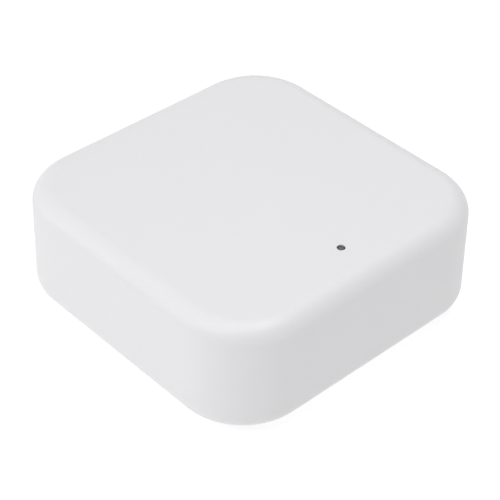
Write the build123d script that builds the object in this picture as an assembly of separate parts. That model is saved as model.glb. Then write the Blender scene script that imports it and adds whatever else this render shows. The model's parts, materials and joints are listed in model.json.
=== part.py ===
from build123d import *
import math
import os
from typing import NamedTuple

# A square desktop smart home hub: a moulded cover over a base plate on four rubber feet, with a
# radio gateway board inside, a small power socket and a reset button in the rear wall, and a
# status light in the top.
#
# Millimetres. +Z is up and Z = 0 is the surface that the feet stand on. The front, with the
# status light near it, faces -Y. The socket and the button are in the rear wall, which faces +Y.

# Case. The cover and the base plate share one outside form, split just above its bottom face.
CASE_SIZE = 70.0  # across the flats, where the case is widest
CASE_TOP = 26.0
CASE_BOTTOM = 2.0
CORNER_RADIUS = 14.6
TOP_FILLET = 3.8
BOTTOM_FILLET = 2.9
DRAFT = 1.0  # degrees that the walls lean in towards the top
WALL = 2.0
CEILING = CASE_TOP - WALL
FLOOR_TOP = CASE_BOTTOM + WALL
SEAM = CASE_BOTTOM + 0.6
SEAM_GAP = 0.15
LIP_TOP = FLOOR_TOP + 2.2
LIP_THICKNESS = 1.2

# Feet, and the case screws that they hide
FOOT_SPREAD = 24.0  # feet, case screws and bosses are at plus and minus this in X and Y
FOOT_RADIUS = 5.0
FOOT_EDGE = 0.6
FOOT_RECESS = 0.8
FOOT_CLEARANCE = 0.2
ADHESIVE = 0.15
COVER_BOSS_RADIUS = 3.2
BASE_BOSS_RADIUS = 3.8
BOSS_SPLIT = 7.2  # where a cover boss meets a base boss
GUSSET_THICKNESS = 1.2
GUSSET_BOTTOM = 14.0
PILOT_RADIUS = 1.3
PILOT_DEPTH = 8.0
THROUGH_RADIUS = 1.45
COUNTERBORE_RADIUS = 2.6
SCREW_SEAT = FLOOR_TOP + 0.6


class Screw(NamedTuple):
    head_radius: float
    head_height: float
    crest_radius: float
    length: float
    pitch: float
    point: float


CASE_SCREW = Screw(2.3, 1.5, 1.25, 8.0, 0.9, 1.2)
BOARD_SCREW = Screw(1.9, 1.3, 0.8, 5.0, 0.6, 0.8)
THREAD_ROOT = 0.72  # of the crest radius
CROSS_WIDTH = 0.24  # of the head radius
CROSS_REACH = 0.6
CROSS_DEPTH = 0.6  # of the head height

# Main circuit board. Its front and rear tabs pass between the corner bosses.
BOARD_THICKNESS = 1.6
BOARD_BOTTOM = 8.0
BOARD_TOP = BOARD_BOTTOM + BOARD_THICKNESS
BOARD_WIDTH = 58.0
BOARD_MIDDLE_LENGTH = 39.6
BOARD_TAB_WIDTH = 39.6
BOARD_FRONT = -29.8
BOARD_REAR = 32.2
BOARD_CORNER = 1.6
BOARD_HOLE_RADIUS = 1.1
STANDOFF_X = 25.5
STANDOFF_Y = 13.0
STANDOFF_RADIUS = 2.5
STANDOFF_HOLE_RADIUS = 0.85
STANDOFF_HOLE_DEPTH = 3.6

# Power socket. The shell stands on four legs, which are soldered into slots in the board.
PORT_Z = BOARD_TOP + 1.6  # the height of the socket's and the button's axes
PORT_BEVEL = 0.3
SOCKET_WIDTH = 8.94
SOCKET_HEIGHT = 3.16
SOCKET_SKIN = 0.28
SOCKET_MOUTH = 34.5
SOCKET_BACK = 27.1
SOCKET_CLEARANCE = 0.25
SOCKET_BLOCK_FRONT = 29.2  # the moulded block fills the shell from its back to here
LEG_X = SOCKET_WIDTH / 2 + 0.05
LEG_ROWS = (28.4, 30.9)
LEG_THICKNESS = 0.3
LEG_WIDTH = 1.1
LEG_SLOT_WIDTH = 0.8
LEG_SLOT_LENGTH = 1.6
TONGUE_WIDTH = 6.7
TONGUE_THICKNESS = 0.7
TONGUE_TIP = 33.7
TONGUE_BEVEL = 0.2
CONTACT_COUNT = 12  # on each side of the tongue
CONTACT_PITCH = 0.5
CONTACT_WIDTH = 0.28
CONTACT_LENGTH = 3.4
CONTACT_PROUD = 0.05
TAIL_LENGTH = 1.0
TAIL_HEIGHT = 0.2

# Reset button: a cap that its flange keeps inside the wall
BUTTON_X = 13.0
BUTTON_RADIUS = 2.0
BUTTON_CLEARANCE = 0.12
BUTTON_FACE = 34.7
BUTTON_EDGE = 0.35
BUTTON_FLANGE_RADIUS = 2.7
BUTTON_FLANGE_REAR = 32.6
BUTTON_FLANGE_FRONT = BUTTON_FLANGE_REAR - 0.8
PUSHER_RADIUS = 1.2
PUSHER_FRONT = BUTTON_FLANGE_FRONT - 0.6
BUTTON_NOTCH_WIDTH = 7.0  # the notch in the board that clears the flange
BUTTON_NOTCH_DEPTH = 1.6

# Reset switch: the cap pushes its stem, and the stem snaps a metal dome down in its well.
SWITCH_REAR = 30.4
SWITCH_WIDTH = 6.0
SWITCH_DEPTH = 3.0
SWITCH_HEIGHT = 3.3
SWITCH_BEVEL = 0.25
SWITCH_PLATE = 0.2
SWITCH_ARM_LENGTH = 2.2
SWITCH_ARM_HEIGHT = 1.2
SWITCH_FOOT_WIDTH = 1.0
SWITCH_BODY_REAR = SWITCH_REAR - SWITCH_PLATE
SWITCH_BODY_FRONT = SWITCH_BODY_REAR - SWITCH_DEPTH
WELL_RADIUS = 1.3
WELL_FLOOR = SWITCH_BODY_REAR - 1.5
DOME_RADIUS = 1.25
DOME_RISE = 0.45
DOME_SHEET = 0.08
STEM_RADIUS = 0.8
STEM_CLEARANCE = 0.08
STEM_COLLAR_RADIUS = 1.15
TERMINAL_OFFSET = 2.0
TERMINAL_WIDTH = 0.7
TERMINAL_LENGTH = 0.9
TERMINAL_HEIGHT = 0.2

# Status light. The LED shines up a light pipe, whose tip is the lens in the cover's top.
LIGHT_Y = -25.2
LENS_RADIUS = 0.8
LENS_EDGE = 0.2
LENS_RECESS = 0.15
PIPE_RADIUS = 1.6
PIPE_BOTTOM = 12.0
PIPE_CLEARANCE = 0.05
PIPE_FLANGE_RADIUS = 2.7
PIPE_FLANGE_HEIGHT = 1.0
SLEEVE_RADIUS = 2.9
SLEEVE_BOTTOM = CEILING - 4.0
LED_WIDTH = 3.2
LED_LENGTH = 2.8
LED_HEIGHT = 1.9
LED_CORNER = 0.2
LED_WELL_RADIUS = 1.15
LED_WELL_FLOOR_RADIUS = 0.85
LED_WELL_DEPTH = 0.9
LED_TERMINAL = (0.3, 0.8, 0.9)
LED_TERMINAL_Y = 0.75

# Label
LABEL_WIDTH = 42.0
LABEL_LENGTH = 24.0
LABEL_THICKNESS = 0.1
LABEL_CORNER = 2.0
LABEL_RECESS = 0.15
LABEL_CLEARANCE = 0.2


class Module(NamedTuple):
    """A radio module: a small board with a metal can at its rear end and an antenna in front."""

    x: float
    rear: float
    width: float
    length: float
    can_width: float
    can_length: float
    can_height: float


class Package(NamedTuple):
    """A moulded chip, with its long side along Y."""

    x: float
    y: float
    width: float
    length: float
    height: float


MODULES = {
    "network_radio": Module(-10.5, 5.0, 16.0, 24.0, 14.2, 16.0, 2.3),
    "mesh_radio": Module(11.0, 1.0, 12.4, 18.0, 10.6, 11.0, 1.9),
}
MODULE_THICKNESS = 0.8
MODULE_TOP = BOARD_TOP + MODULE_THICKNESS
MODULE_CORNER = 0.3
NOTCH_RADIUS = 0.4  # the plated half-round notches along a module's long sides
NOTCH_PITCH = 1.5
CAN_SKIN = 0.2
CAN_CORNER = 0.8
CAN_EDGE = 0.3
CAN_SETBACK = 0.6
RADIO_CHIP_SHARE = 0.42  # of the can's width
RADIO_CHIP_HEIGHT = 0.85
ANTENNA_TRACE = 0.6
ANTENNA_COPPER = 0.05
ANTENNA_TURNS = 5
ANTENNA_MARGIN = 1.2

# Chips on the main board
FLASH = Package(12.5, 10.0, 3.9, 4.9, 1.5)
REGULATOR = Package(-12.0, 14.0, 3.5, 6.5, 1.6)
SURGE_DIODE = Package(5.0, 20.0, 1.6, 2.7, 1.1)
CHIP_STANDOFF = 0.1
CHIP_BEVEL = 0.2
CHIP_MARK_RADIUS = 0.35
CHIP_MARK_INSET = 0.8
LEAD_THICKNESS = 0.2
FLASH_LEADS_PER_SIDE = 4
FLASH_LEAD_PITCH = 1.27
FLASH_LEAD_WIDTH = 0.4
FLASH_LEAD_RISE = 0.7
REGULATOR_LEAD_PITCH = 2.3
REGULATOR_LEAD = (1.6, 0.75, 0.3)
REGULATOR_TAB = (1.6, 3.0, 0.3)
SURGE_TAIL = (0.7, 0.7, 0.25)

# Coil, bulk capacitors and crystal
COIL_PLACE = (-3.5, 14.0)
COIL_SIZE = 5.0
COIL_HEIGHT = 2.8
COIL_CORNER = 0.8
COIL_GROOVE = (1.5, 2.0, 0.3)  # inner radius, outer radius and depth
BULK_PLACES = ((-10.0, 22.5), (-16.2, 22.5))
BULK_RADIUS = 2.5
BULK_HEIGHT = 5.2
BULK_BASE_SIZE = 5.3
BULK_BASE_HEIGHT = 0.7
BULK_BASE_BEVEL = 1.1
BULK_CRIMP = (0.7, 0.4, 0.2)  # height above the base, width and depth
BULK_EDGE = 0.3
CRYSTAL_PLACE = (3.0, 3.4)
CRYSTAL_BASE = (3.2, 2.5, 0.35)
CRYSTAL_LID = (2.9, 2.2, 0.45)
CRYSTAL_LID_CORNER = 0.3
CRYSTAL_LID_EDGE = 0.12

# Chip capacitors and resistors: x, y, and the angle that each is turned by
SMALL_LENGTH = 1.6
SMALL_WIDTH = 0.8
SMALL_END = 0.3
SMALL_BODY_SHARE = 0.94  # the body is this much thinner and narrower than its plated ends
CAPACITOR_HEIGHT = 0.8
RESISTOR_HEIGHT = 0.45
CAPACITOR_PLACES = (
    (-18.5, 10.0, 90), (-18.5, 6.8, 90), (2.2, 10.0, 0), (2.2, 7.8, 0), (20.5, 2.0, 90),
    (20.5, -2.0, 90), (6.0, 24.0, 0), (-24.0, 0.0, 90), (17.6, 14.5, 0), (-4.5, 20.2, 0),
)
RESISTOR_PLACES = (
    (8.0, 16.0, 0), (8.0, 17.6, 0), (12.0, 17.6, 0), (3.8, -24.0, 90), (6.0, -24.0, 90),
    (22.5, 2.0, 90), (22.5, -2.0, 90), (-2.0, 24.4, 0), (2.0, 24.4, 0), (13.0, 23.5, 0),
    (-22.0, 0.0, 90), (-22.0, 4.0, 90),
)

SIDES = (-1, 1)
FOUR_CORNERS = [(sx, sy) for sx in SIDES for sy in SIDES]
LEAN = math.tan(math.radians(DRAFT))
FAR = 2 * CASE_SIZE  # reaches past the case from anywhere in it

parts = {}


# Plain forms


def block(x, y, z, size_x, size_y, size_z, corner=0.0):
    """A block on the level z, centred on x and y, with its upright edges rounded."""
    outline = RectangleRounded(size_x, size_y, corner) if corner else Rectangle(size_x, size_y)
    return extrude(Pos(x, y, z) * outline, size_z)


def rod(x, y, z, radius, height):
    """An upright rod that stands on the level z."""
    return extrude(Pos(x, y, z) * Circle(radius), height)


def rearward(outline, x, y, length, taper=0.0):
    """The outline, stood upright on the axis of the rear ports at x and y, and pushed along +Y."""
    return extrude(Pos(x, y, PORT_Z) * Rot(-90, 0, 0) * outline, length, taper=taper)


def rim(shape, end):
    """The edges of the shape's lowest (end 0) or highest (end -1) flat face."""
    return shape.faces().sort_by(Axis.Z)[end].edges()


def slab(low, high):
    """Everything between two levels."""
    return block(0, 0, low, FAR, FAR, high - low)


# Case


def case_half_width(z):
    """From the middle of the case to its outside, on a flat side, at the height z."""
    return CASE_SIZE / 2 + (CASE_BOTTOM + BOTTOM_FILLET - z) * LEAN


def case_form(inset, top):
    """The case's drafted form, taken in by inset all round, from the bottom face up to top."""
    side = 2 * (case_half_width(CASE_BOTTOM) - inset)
    outline = Pos(0, 0, CASE_BOTTOM) * RectangleRounded(side, side, CORNER_RADIUS - inset)
    return extrude(outline, top - CASE_BOTTOM, taper=DRAFT)


def outer_form():
    form = case_form(0, CASE_TOP)
    form = fillet(rim(form, -1), TOP_FILLET)
    return fillet(rim(form, 0), BOTTOM_FILLET)


def inner_form():
    form = case_form(WALL, CEILING)
    return fillet(rim(form, -1), TOP_FILLET - WALL)


def cover_bosses():
    """A screw boss at each corner, with two gussets that tie it to the walls and the ceiling."""
    bosses = Part()
    reach = CASE_SIZE / 2 - FOOT_SPREAD
    height = CEILING - GUSSET_BOTTOM
    for sx, sy in FOUR_CORNERS:
        x, y = sx * FOOT_SPREAD, sy * FOOT_SPREAD
        bosses += rod(x, y, BOSS_SPLIT, COVER_BOSS_RADIUS, CEILING - BOSS_SPLIT)
        bosses += block(x + sx * reach / 2, y, GUSSET_BOTTOM, reach, GUSSET_THICKNESS, height)
        bosses += block(x, y + sy * reach / 2, GUSSET_BOTTOM, GUSSET_THICKNESS, reach, height)
    return bosses


def rear_ports():
    """The holes in the rear wall for the socket and the button, each with a bevelled mouth."""
    socket = SlotOverall(
        SOCKET_WIDTH + 2 * SOCKET_CLEARANCE, SOCKET_HEIGHT + 2 * SOCKET_CLEARANCE
    )
    button = Circle(BUTTON_RADIUS + BUTTON_CLEARANCE)
    bevel_start = case_half_width(PORT_Z) - PORT_BEVEL
    holes = Part()
    for outline, x in ((socket, 0), (button, BUTTON_X)):
        holes += rearward(outline, x, SOCKET_BACK, FAR)
        holes += rearward(outline, x, bevel_start, 2 * PORT_BEVEL, taper=-45)
    return holes


def top_cover():
    cavity = inner_form()
    sleeve_height = CEILING - SLEEVE_BOTTOM
    inside = cover_bosses() + rod(0, LIGHT_Y, SLEEVE_BOTTOM, SLEEVE_RADIUS, sleeve_height)
    cover = (outer_form() & slab(SEAM, CASE_TOP + WALL)) - cavity + (inside & cavity)
    for sx, sy in FOUR_CORNERS:
        cover -= rod(sx * FOOT_SPREAD, sy * FOOT_SPREAD, BOSS_SPLIT, PILOT_RADIUS, PILOT_DEPTH)
    cover -= rod(0, LIGHT_Y, SLEEVE_BOTTOM, PIPE_RADIUS + PIPE_CLEARANCE, sleeve_height)
    cover -= rod(0, LIGHT_Y, CEILING, LENS_RADIUS + PIPE_CLEARANCE, WALL)
    return cover - rear_ports()


def bottom_cover():
    lip_inset = WALL + SEAM_GAP
    plate = outer_form() & slab(CASE_BOTTOM, SEAM - SEAM_GAP)
    plate += case_form(lip_inset, LIP_TOP)
    plate -= case_form(lip_inset + LIP_THICKNESS, LIP_TOP) & slab(FLOOR_TOP, LIP_TOP)
    boss_top = BOSS_SPLIT - SEAM_GAP
    for sx, sy in FOUR_CORNERS:
        x, y = sx * FOOT_SPREAD, sy * FOOT_SPREAD
        plate += rod(x, y, CASE_BOTTOM, BASE_BOSS_RADIUS, boss_top - CASE_BOTTOM)
        plate -= rod(x, y, CASE_BOTTOM, FOOT_RADIUS + FOOT_CLEARANCE, FOOT_RECESS)
        plate -= rod(x, y, CASE_BOTTOM, COUNTERBORE_RADIUS, SCREW_SEAT - CASE_BOTTOM)
        plate -= rod(x, y, CASE_BOTTOM, THROUGH_RADIUS, boss_top - CASE_BOTTOM)
        x, y = sx * STANDOFF_X, sy * STANDOFF_Y
        plate += rod(x, y, FLOOR_TOP, STANDOFF_RADIUS, BOARD_BOTTOM - FLOOR_TOP)
        hole_bottom = BOARD_BOTTOM - STANDOFF_HOLE_DEPTH
        plate -= rod(x, y, hole_bottom, STANDOFF_HOLE_RADIUS, STANDOFF_HOLE_DEPTH)
    width, length = LABEL_WIDTH + 2 * LABEL_CLEARANCE, LABEL_LENGTH + 2 * LABEL_CLEARANCE
    return plate - block(0, 0, CASE_BOTTOM, width, length, LABEL_RECESS, LABEL_CORNER)


def rubber_foot(x, y):
    foot = rod(x, y, 0, FOOT_RADIUS, CASE_BOTTOM + FOOT_RECESS - ADHESIVE)
    return fillet(rim(foot, 0), FOOT_EDGE)


def foot_adhesive_pads():
    pad_bottom = CASE_BOTTOM + FOOT_RECESS - ADHESIVE
    return [
        rod(sx * FOOT_SPREAD, sy * FOOT_SPREAD, pad_bottom, FOOT_RADIUS, ADHESIVE)
        for sx, sy in FOUR_CORNERS
    ]


def blank_label():
    bottom = CASE_BOTTOM + LABEL_RECESS - LABEL_THICKNESS
    return block(0, 0, bottom, LABEL_WIDTH, LABEL_LENGTH, LABEL_THICKNESS, LABEL_CORNER)


# Screws


def thread_profile(kind):
    """Half of a shank with ridged thread, from under its head at z = 0 down to its point."""
    root = THREAD_ROOT * kind.crest_radius
    outline = [(0, 0), (root, 0)]
    for turn in range(int((kind.length - kind.point) / kind.pitch)):
        for radius, share in ((root, 0.3), (kind.crest_radius, 0.6), (root, 0.9)):
            outline.append((radius, -(turn + share) * kind.pitch))
    outline += [(root, kind.point - kind.length), (0, -kind.length)]
    return Plane.XZ * make_face(Polyline(outline, close=True))


def screw(kind):
    """A self-tapping screw with a domed cross-recess head, whose underside is at z = 0."""
    shank = revolve(thread_profile(kind), Axis.Z)
    head = rod(0, 0, 0, kind.head_radius, kind.head_height)
    head = fillet(rim(head, -1), kind.head_height / 2)
    arm_length, arm_width = 2 * CROSS_REACH * kind.head_radius, CROSS_WIDTH * kind.head_radius
    recess_floor = (1 - CROSS_DEPTH) * kind.head_height
    for turn in (0, 90):
        head -= Rot(0, 0, turn) * block(0, 0, recess_floor, arm_length, arm_width, kind.head_height)
    return shank + head


def case_screws():
    upward = Rot(180, 0, 0) * screw(CASE_SCREW)
    return [
        Pos(sx * FOOT_SPREAD, sy * FOOT_SPREAD, SCREW_SEAT) * upward for sx, sy in FOUR_CORNERS
    ]


def board_screws():
    downward = screw(BOARD_SCREW)
    return [Pos(sx * STANDOFF_X, sy * STANDOFF_Y, BOARD_TOP) * downward for sx, sy in FOUR_CORNERS]


# Main circuit board


def main_circuit_board():
    middle = (BOARD_REAR + BOARD_FRONT) / 2
    outline = Pos(0, middle) * Rectangle(BOARD_TAB_WIDTH, BOARD_REAR - BOARD_FRONT)
    outline += Rectangle(BOARD_WIDTH, BOARD_MIDDLE_LENGTH)
    outline = fillet(outline.vertices(), BOARD_CORNER)
    notch_y = BOARD_REAR - BUTTON_NOTCH_DEPTH / 2
    outline -= Pos(BUTTON_X, notch_y) * Rectangle(BUTTON_NOTCH_WIDTH, BUTTON_NOTCH_DEPTH)
    for sx, sy in FOUR_CORNERS:
        outline -= Pos(sx * STANDOFF_X, sy * STANDOFF_Y) * Circle(BOARD_HOLE_RADIUS)
    leg_slot = Rot(0, 0, 90) * SlotOverall(LEG_SLOT_LENGTH, LEG_SLOT_WIDTH)
    for side in SIDES:
        for y in LEG_ROWS:
            outline -= Pos(side * LEG_X, y) * leg_slot
    return extrude(Pos(0, 0, BOARD_BOTTOM) * outline, BOARD_THICKNESS)


# Power socket


def socket_bore():
    return SlotOverall(SOCKET_WIDTH - 2 * SOCKET_SKIN, SOCKET_HEIGHT - 2 * SOCKET_SKIN)


def power_socket_shell():
    length = SOCKET_MOUTH - SOCKET_BACK
    shell = rearward(SlotOverall(SOCKET_WIDTH, SOCKET_HEIGHT), 0, SOCKET_BACK, length)
    for side in SIDES:
        for y in LEG_ROWS:
            leg_height = PORT_Z - BOARD_BOTTOM
            shell += block(side * LEG_X, y, BOARD_BOTTOM, LEG_THICKNESS, LEG_WIDTH, leg_height)
    return shell - rearward(socket_bore(), 0, SOCKET_BACK, length)


def power_socket_tongue():
    """The moulded block at the back of the shell, with the tongue that a plug slides over."""
    base = rearward(socket_bore(), 0, SOCKET_BACK, SOCKET_BLOCK_FRONT - SOCKET_BACK)
    length = TONGUE_TIP - SOCKET_BLOCK_FRONT
    y, bottom = SOCKET_BLOCK_FRONT + length / 2, PORT_Z - TONGUE_THICKNESS / 2
    tongue = block(0, y, bottom, TONGUE_WIDTH, length, TONGUE_THICKNESS)
    tip = tongue.edges().group_by(Axis.Y)[-1].filter_by(Axis.X)
    return base + chamfer(tip, TONGUE_BEVEL)


def power_socket_contacts():
    """A row of contacts on each side of the tongue, and a row of solder tails on the board."""
    y = SOCKET_BLOCK_FRONT + (TONGUE_TIP - SOCKET_BLOCK_FRONT) / 2 - 2 * TONGUE_BEVEL
    above, below = PORT_Z + TONGUE_THICKNESS / 2, PORT_Z - TONGUE_THICKNESS / 2 - CONTACT_PROUD
    contacts = []
    for n in range(CONTACT_COUNT):
        x = (n - (CONTACT_COUNT - 1) / 2) * CONTACT_PITCH
        for z in (above, below):
            contacts.append(block(x, y, z, CONTACT_WIDTH, CONTACT_LENGTH, CONTACT_PROUD))
        tail_y = SOCKET_BACK - TAIL_LENGTH / 2
        contacts.append(block(x, tail_y, BOARD_TOP, CONTACT_WIDTH, TAIL_LENGTH, TAIL_HEIGHT))
    return contacts


# Reset button and its switch


def reset_button():
    flange_thickness = BUTTON_FLANGE_REAR - BUTTON_FLANGE_FRONT
    cap_length = BUTTON_FACE - BUTTON_FLANGE_FRONT
    cap = rearward(Circle(BUTTON_RADIUS), BUTTON_X, BUTTON_FLANGE_FRONT, cap_length)
    cap = fillet(cap.faces().sort_by(Axis.Y)[-1].edges(), BUTTON_EDGE)
    flange = Circle(BUTTON_FLANGE_RADIUS)
    cap += rearward(flange, BUTTON_X, BUTTON_FLANGE_FRONT, flange_thickness)
    pusher = Circle(PUSHER_RADIUS)
    return cap + rearward(pusher, BUTTON_X, PUSHER_FRONT, BUTTON_FLANGE_FRONT - PUSHER_FRONT)


def reset_switch_housing():
    y = SWITCH_BODY_FRONT + SWITCH_DEPTH / 2
    body = block(BUTTON_X, y, BOARD_TOP, SWITCH_WIDTH, SWITCH_DEPTH, SWITCH_HEIGHT)
    body = chamfer(body.edges().filter_by(Axis.Z), SWITCH_BEVEL)
    return body - rearward(Circle(WELL_RADIUS), BUTTON_X, WELL_FLOOR, SWITCH_DEPTH)


def reset_switch_dome():
    """A shallow metal cap that stands in the well, with its crown towards the stem."""
    curve = (DOME_RADIUS**2 + DOME_RISE**2) / (2 * DOME_RISE)
    centre = Pos(BUTTON_X, WELL_FLOOR + DOME_RISE - curve, PORT_Z)
    cap = centre * (Sphere(curve) - Sphere(curve - DOME_SHEET))
    return cap & rearward(Circle(DOME_RADIUS), BUTTON_X, WELL_FLOOR, SWITCH_DEPTH)


def reset_switch_stem():
    crown = WELL_FLOOR + DOME_RISE
    collar_length = SWITCH_BODY_REAR - STEM_CLEARANCE - crown
    stem = rearward(Circle(STEM_COLLAR_RADIUS), BUTTON_X, crown, collar_length)
    return stem + rearward(Circle(STEM_RADIUS), BUTTON_X, crown, PUSHER_FRONT - crown)


def reset_switch_cover():
    """The bent plate that closes the well, with an arm and a solder foot at each side."""
    width = SWITCH_WIDTH + 2 * SWITCH_PLATE
    y = SWITCH_REAR - SWITCH_PLATE / 2
    plate = block(BUTTON_X, y, BOARD_TOP, width, SWITCH_PLATE, SWITCH_HEIGHT)
    for side in SIDES:
        x = BUTTON_X + side * (SWITCH_WIDTH + SWITCH_PLATE) / 2
        arm_y = SWITCH_REAR - SWITCH_ARM_LENGTH / 2
        arm = (SWITCH_PLATE, SWITCH_ARM_LENGTH, SWITCH_ARM_HEIGHT)
        plate += block(x, arm_y, BOARD_TOP + SWITCH_ARM_HEIGHT / 2, *arm)
        foot_y = SWITCH_REAR - SWITCH_ARM_LENGTH + SWITCH_FOOT_WIDTH / 2
        plate += block(x, foot_y, BOARD_TOP, SWITCH_PLATE, SWITCH_FOOT_WIDTH, SWITCH_ARM_HEIGHT)
        foot_x = x + side * SWITCH_FOOT_WIDTH / 2
        foot = (SWITCH_FOOT_WIDTH + SWITCH_PLATE, SWITCH_FOOT_WIDTH, SWITCH_PLATE)
        plate += block(foot_x, foot_y, BOARD_TOP, *foot)
    hole = Circle(STEM_RADIUS + STEM_CLEARANCE)
    return plate - rearward(hole, BUTTON_X, SWITCH_BODY_REAR, SWITCH_DEPTH)


def reset_switch_terminals():
    y = SWITCH_BODY_FRONT - TERMINAL_LENGTH / 2
    size = (TERMINAL_WIDTH, TERMINAL_LENGTH, TERMINAL_HEIGHT)
    return [block(BUTTON_X + side * TERMINAL_OFFSET, y, BOARD_TOP, *size) for side in SIDES]


# Status light


def light_pipe():
    """A smoked light guide: the lens at its tip, the rod, and the flange under the sleeve."""
    rod_top = CEILING - PIPE_CLEARANCE
    lens = rod(0, LIGHT_Y, rod_top, LENS_RADIUS, CASE_TOP - LENS_RECESS - rod_top)
    lens = fillet(rim(lens, -1), LENS_EDGE)
    flange_bottom = SLEEVE_BOTTOM - PIPE_CLEARANCE - PIPE_FLANGE_HEIGHT
    pipe = rod(0, LIGHT_Y, PIPE_BOTTOM, PIPE_RADIUS, rod_top - PIPE_BOTTOM)
    return pipe + lens + rod(0, LIGHT_Y, flange_bottom, PIPE_FLANGE_RADIUS, PIPE_FLANGE_HEIGHT)


def status_led_lens():
    """The clear filling of the LED's tapered well."""
    top = BOARD_TOP + LED_HEIGHT
    floor = Pos(0, LIGHT_Y, top - LED_WELL_DEPTH) * Circle(LED_WELL_FLOOR_RADIUS)
    return loft([floor, Pos(0, LIGHT_Y, top) * Circle(LED_WELL_RADIUS)])


def status_led():
    body = block(0, LIGHT_Y, BOARD_TOP, LED_WIDTH, LED_LENGTH, LED_HEIGHT, LED_CORNER)
    return body - status_led_lens()


def status_led_terminals():
    x = (LED_WIDTH + LED_TERMINAL[0]) / 2
    return [
        block(sx * x, LIGHT_Y + sy * LED_TERMINAL_Y, BOARD_TOP, *LED_TERMINAL)
        for sx, sy in FOUR_CORNERS
    ]


# Radio modules


def can_y(module):
    return module.rear - CAN_SETBACK - module.can_length / 2


def module_board(module):
    y = module.rear - module.length / 2
    board = block(module.x, y, BOARD_TOP, module.width, module.length, MODULE_THICKNESS, MODULE_CORNER)
    for n in range(1, int(module.can_length / NOTCH_PITCH)):
        for side in SIDES:
            x = module.x + side * module.width / 2
            board -= rod(x, module.rear - n * NOTCH_PITCH, BOARD_TOP, NOTCH_RADIUS, MODULE_THICKNESS)
    return board


def module_can(module):
    """A drawn metal lid, open below, on the module's board."""
    size = (module.can_width, module.can_length, module.can_height)
    can = block(module.x, can_y(module), MODULE_TOP, *size, CAN_CORNER)
    can = fillet(rim(can, -1), CAN_EDGE)
    inner = (size[0] - 2 * CAN_SKIN, size[1] - 2 * CAN_SKIN, size[2] - CAN_SKIN)
    return can - block(module.x, can_y(module), MODULE_TOP, *inner, CAN_CORNER - CAN_SKIN)


def module_chip(module):
    side = RADIO_CHIP_SHARE * module.can_width
    return block(module.x, can_y(module), MODULE_TOP, side, side, RADIO_CHIP_HEIGHT)


def module_antenna(module):
    """A copper meander on the clear front end of the module's board."""
    front = module.rear - module.length + ANTENNA_MARGIN
    back = module.rear - CAN_SETBACK - module.can_length - ANTENNA_MARGIN
    y, depth = (front + back) / 2, back - front
    pitch = (module.width - 2 * ANTENNA_MARGIN) / ANTENNA_TURNS
    left = module.x - pitch * ANTENNA_TURNS / 2
    antenna = block(left, y, MODULE_TOP, ANTENNA_TRACE, depth, ANTENNA_COPPER)
    for n in range(ANTENNA_TURNS):
        bar_y = (front, back)[n % 2 == 0] + (n % 2 - 0.5) * ANTENNA_TRACE
        bar_x = left + (n + 0.5) * pitch
        antenna += block(bar_x, bar_y, MODULE_TOP, pitch, ANTENNA_TRACE, ANTENNA_COPPER)
        leg_x = left + (n + 1) * pitch
        antenna += block(leg_x, y, MODULE_TOP, ANTENNA_TRACE, depth, ANTENNA_COPPER)
    return antenna


# Chips on the main board


def chip_body(chip):
    """A moulded package, just clear of the board, with a dimple beside its first lead."""
    bottom = BOARD_TOP + CHIP_STANDOFF
    body = block(chip.x, chip.y, bottom, chip.width, chip.length, chip.height)
    body = chamfer(rim(body, -1), CHIP_BEVEL)
    mark_x = chip.x - chip.width / 2 + CHIP_MARK_INSET
    mark_y = chip.y + chip.length / 2 - CHIP_MARK_INSET
    mark_z = bottom + chip.height - CHIP_BEVEL / 2
    return body - rod(mark_x, mark_y, mark_z, CHIP_MARK_RADIUS, CHIP_BEVEL)


def gull_lead(x, y, side):
    """A bent lead from a chip's flank at x: out, down to the board, and out again along it."""
    thick, width, rise = LEAD_THICKNESS, FLASH_LEAD_WIDTH, FLASH_LEAD_RISE
    shoulder = block(x + side * thick, y, BOARD_TOP + rise, 2 * thick, width, thick)
    fall = block(x + side * 2.5 * thick, y, BOARD_TOP, thick, width, rise + thick)
    toe = block(x + side * 4.5 * thick, y, BOARD_TOP, 4 * thick, width, thick)
    return shoulder + fall + toe


def flash_memory_leads():
    middle = (FLASH_LEADS_PER_SIDE - 1) / 2
    return [
        gull_lead(FLASH.x + side * FLASH.width / 2, FLASH.y + (n - middle) * FLASH_LEAD_PITCH, side)
        for n in range(FLASH_LEADS_PER_SIDE)
        for side in SIDES
    ]


def voltage_regulator_leads():
    """Three narrow leads on one side, and the wide cooling tab on the other."""
    chip = REGULATOR
    x = chip.x - chip.width / 2 - REGULATOR_LEAD[0] / 2
    leads = [
        block(x, chip.y + n * REGULATOR_LEAD_PITCH, BOARD_TOP, *REGULATOR_LEAD) for n in (-1, 0, 1)
    ]
    tab_x = chip.x + chip.width / 2 + REGULATOR_TAB[0] / 2
    return leads + [block(tab_x, chip.y, BOARD_TOP, *REGULATOR_TAB)]


def surge_diode_tails():
    chip = SURGE_DIODE
    y = (chip.length + SURGE_TAIL[1]) / 2
    return [block(chip.x, chip.y + side * y, BOARD_TOP, *SURGE_TAIL) for side in SIDES]


def power_coil():
    x, y = COIL_PLACE
    inner, outer, depth = COIL_GROOVE
    groove_bottom = BOARD_TOP + COIL_HEIGHT - depth
    groove = rod(x, y, groove_bottom, outer, depth) - rod(x, y, groove_bottom, inner, depth)
    return block(x, y, BOARD_TOP, COIL_SIZE, COIL_SIZE, COIL_HEIGHT, COIL_CORNER) - groove


def bulk_capacitor_cans():
    above, width, depth = BULK_CRIMP
    bottom = BOARD_TOP + BULK_BASE_HEIGHT
    cans = []
    for x, y in BULK_PLACES:
        can = rod(x, y, bottom, BULK_RADIUS, BULK_HEIGHT - BULK_BASE_HEIGHT)
        can = fillet(rim(can, -1), BULK_EDGE)
        crimp = rod(x, y, bottom + above, 2 * BULK_RADIUS, width)
        crimp -= rod(x, y, bottom + above, BULK_RADIUS - depth, width)
        cans.append(can - crimp)
    return cans


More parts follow.
